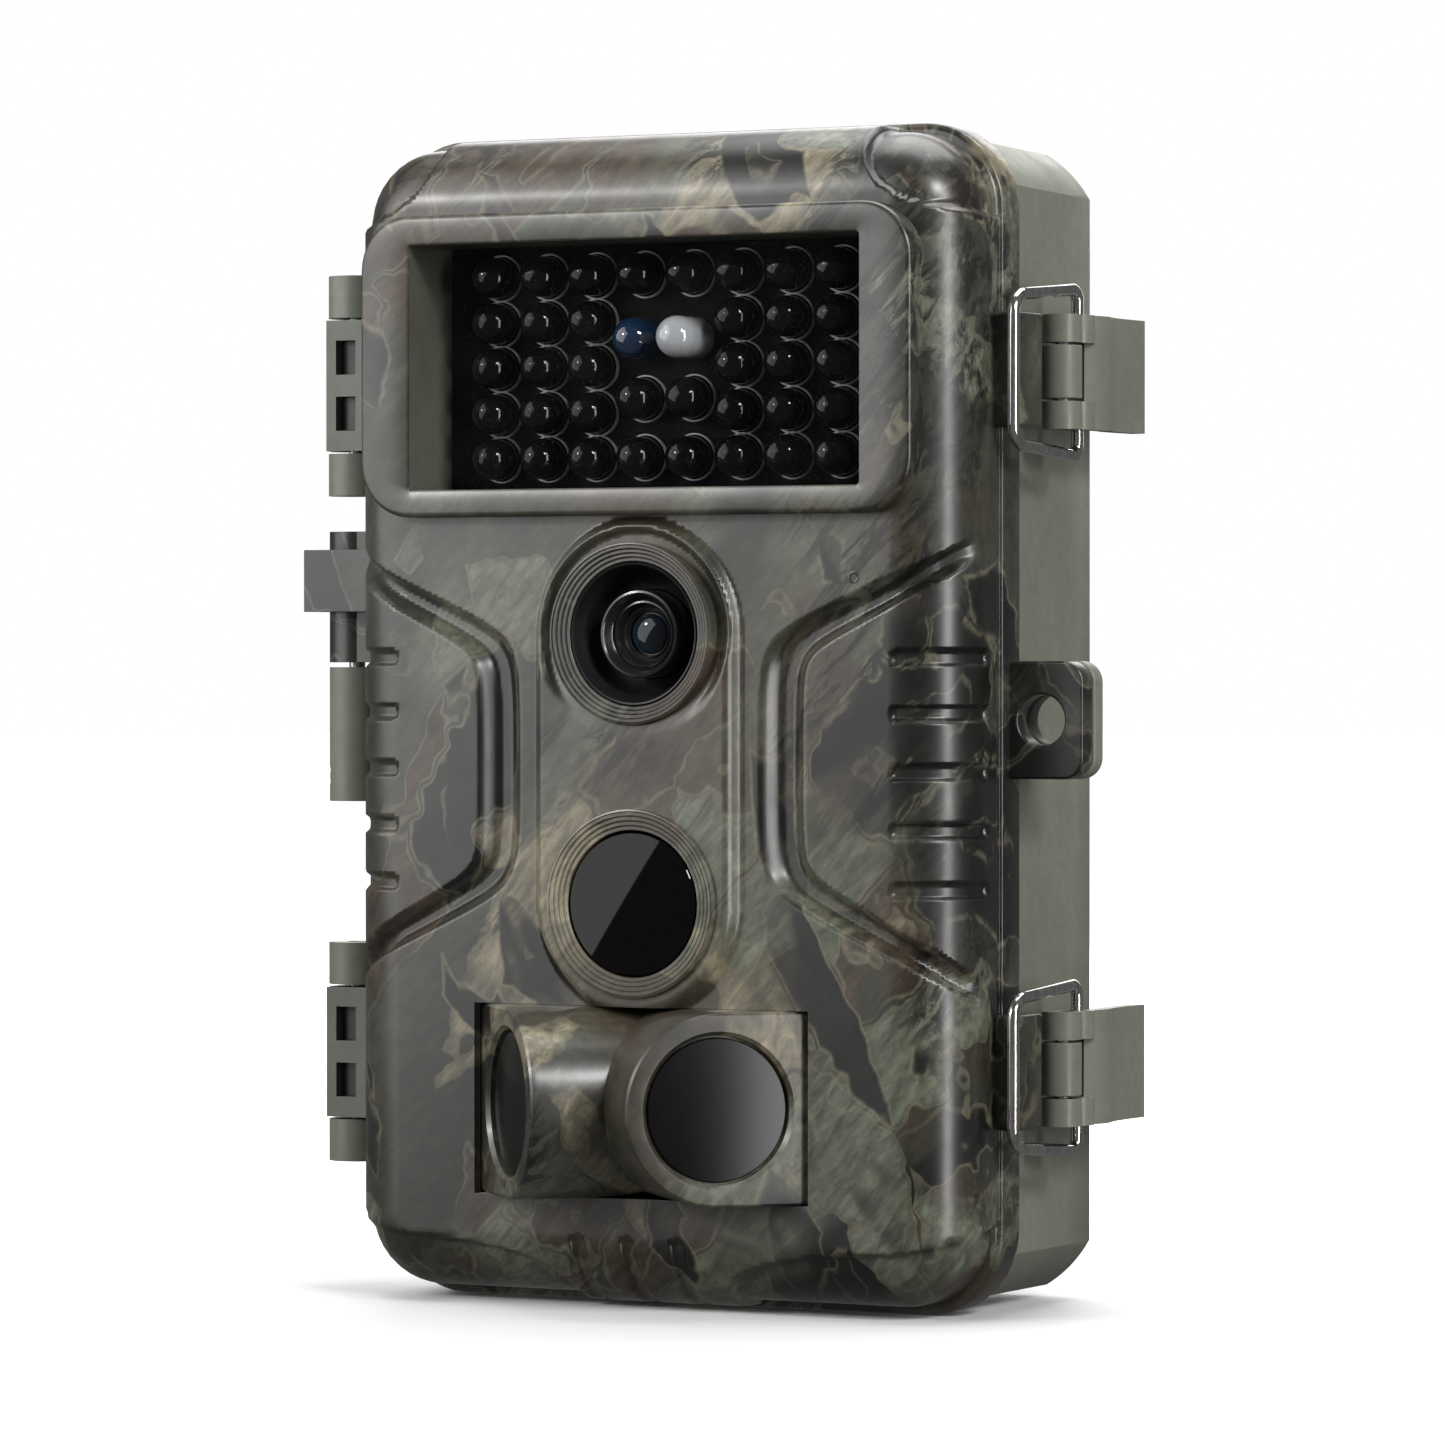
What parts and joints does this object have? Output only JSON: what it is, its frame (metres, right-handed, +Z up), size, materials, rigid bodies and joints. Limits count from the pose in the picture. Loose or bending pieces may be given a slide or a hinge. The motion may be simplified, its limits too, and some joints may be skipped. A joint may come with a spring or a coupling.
{
  "type": "trail camera",
  "caption": "Clamshell wildlife camera in a camouflage case with an infrared lamp window, a lens, three motion sensors, a side hinge, two draw latches and a padlock tab.",
  "frame": {"origin": "on the ground under the middle of the object's box", "axes": "+Z up, the lens looks along -Y, the hinge is at -X and the latches are at +X; the case parts at Y = 0"},
  "size_m": [0.1035, 0.0644, 0.14],
  "materials": {
    "camo_plastic": "semi-gloss moulded ABS with a dipped leaf-and-bark camouflage print",
    "olive_plastic": "satin olive grey moulded ABS",
    "black_plastic": "satin black",
    "clear_plastic": "clear polished",
    "smoked_lamp": "gloss smoked epoxy on a black board",
    "blue_lamp": "gloss tinted epoxy",
    "white_lamp": "frosted epoxy",
    "lens_glass": "coated glass",
    "sensor_film": "smooth black polyethylene",
    "sensor_can": "bright plated",
    "circuit_board": "solder mask",
    "display_glass": "gloss",
    "key_rubber": "matt silicone",
    "seal_rubber": "matt",
    "chrome_wire": "bright",
    "steel": "plain",
    "brass": "machined",
    "contact_plate": "nickel plated",
    "cell_jacket": "plain printed film, satin",
    "card_plastic": "moulded"
  },
  "bodies": {
    "case": {"rear_case": "olive_plastic", "case_gasket": "seal_rubber", "tripod_insert": "brass", "battery_tray": "black_plastic", "contact_spring_lower": "contact_plate", "contact_plate_lower": "contact_plate", "contact_spring_upper": "contact_plate", "contact_plate_upper": "contact_plate", "aa_cell_1": "cell_jacket", "aa_cell_2": "cell_jacket", "aa_cell_3": "cell_jacket", "aa_cell_4": "cell_jacket", "aa_cell_5": "cell_jacket", "aa_cell_6": "cell_jacket", "aa_cell_7": "cell_jacket", "aa_cell_8": "cell_jacket", "hinge_pin_upper": "steel", "hinge_pin_lower": "steel", "hinge_pin_centre": "steel", "grub_screw": "steel", "latch_pin_upper": "steel", "latch_pin_lower": "steel"},
    "cover": {"front_cover": "camo_plastic", "side_sensor_housing": "camo_plastic", "main_board": "circuit_board", "inner_panel": "black_plastic", "display": "display_glass", "speaker": "black_plastic", "card_socket": "steel", "led_board": "smoked_lamp", "led_blue": "blue_lamp", "led_white": "white_lamp", "led_window": "clear_plastic", "lens_hood": "black_plastic", "lens_barrel": "black_plastic", "lens_element": "lens_glass", "camera_board": "circuit_board", "pir_window_front": "sensor_film", "pir_window_left": "sensor_film", "pir_window_right": "sensor_film", "pir_sensor_front": "sensor_can", "pir_sensor_left": "sensor_can", "pir_sensor_right": "sensor_can", "panel_screw_1": "steel", "panel_screw_2": "steel", "panel_screw_3": "steel", "panel_screw_4": "steel"},
    "lever_upper": {"latch_lever_upper": "olive_plastic"},
    "lever_lower": {"latch_lever_lower": "olive_plastic"},
    "bail_upper": {"latch_bail_upper": "chrome_wire"},
    "bail_lower": {"latch_bail_lower": "chrome_wire"},
    "key_up": {"key_up": "key_rubber"},
    "key_down": {"key_down": "key_rubber"},
    "key_left": {"key_left": "key_rubber"},
    "key_right": {"key_right": "key_rubber"},
    "key_ok": {"key_ok": "key_rubber"},
    "key_menu": {"key_menu": "key_rubber"},
    "mode_switch": {"mode_switch": "key_rubber"},
    "memory_card": {"memory_card": "card_plastic"}
  },
  "joints": [
    {"name": "cover_hinge", "type": "hinge", "parent": "case", "child": "cover", "pos_m": [-0.0491, -0.0005, 0.07], "axis": [0, 0, -1], "range_deg": [0, 120]},
    {"name": "lever_upper_hinge", "type": "hinge", "parent": "case", "child": "lever_upper", "pos_m": [0.045, 0.0038, 0.11085], "axis": [0, 0, -1], "range_deg": [0, 120]},
    {"name": "bail_upper_pivot", "type": "hinge", "parent": "lever_upper", "child": "bail_upper", "pos_m": [0.0455, 0.0069, 0.11085], "axis": [0, 0, -1], "range_deg": [-144, 0]},
    {"name": "lever_lower_hinge", "type": "hinge", "parent": "case", "child": "lever_lower", "pos_m": [0.045, 0.0038, 0.02895], "axis": [0, 0, -1], "range_deg": [0, 120]},
    {"name": "bail_lower_pivot", "type": "hinge", "parent": "lever_lower", "child": "bail_lower", "pos_m": [0.0455, 0.0069, 0.02895], "axis": [0, 0, -1], "range_deg": [-144, 0]},
    {"name": "key_up_press", "type": "slide", "parent": "cover", "child": "key_up", "axis": [0, -1, 0], "range_m": [0, 0.0006], "stiffness_N_per_m": 500},
    {"name": "key_down_press", "type": "slide", "parent": "cover", "child": "key_down", "axis": [0, -1, 0], "range_m": [0, 0.0006], "stiffness_N_per_m": 500},
    {"name": "key_left_press", "type": "slide", "parent": "cover", "child": "key_left", "axis": [0, -1, 0], "range_m": [0, 0.0006], "stiffness_N_per_m": 500},
    {"name": "key_right_press", "type": "slide", "parent": "cover", "child": "key_right", "axis": [0, -1, 0], "range_m": [0, 0.0006], "stiffness_N_per_m": 500},
    {"name": "key_ok_press", "type": "slide", "parent": "cover", "child": "key_ok", "axis": [0, -1, 0], "range_m": [0, 0.0006], "stiffness_N_per_m": 500},
    {"name": "key_menu_press", "type": "slide", "parent": "cover", "child": "key_menu", "axis": [0, -1, 0], "range_m": [0, 0.0006], "stiffness_N_per_m": 500},
    {"name": "mode_switch_slide", "type": "slide", "parent": "cover", "child": "mode_switch", "axis": [1, 0, 0], "range_m": [0, 0.008]},
    {"name": "memory_card_slide", "type": "slide", "parent": "cover", "child": "memory_card", "axis": [0, 0, -1], "range_m": [0, 0.007]}
  ],
  "couplings": [
    {"joint": "bail_upper_pivot", "follows": "lever_upper_hinge", "ratio": -1.2},
    {"joint": "bail_lower_pivot", "follows": "lever_lower_hinge", "ratio": -1.2}
  ]
}
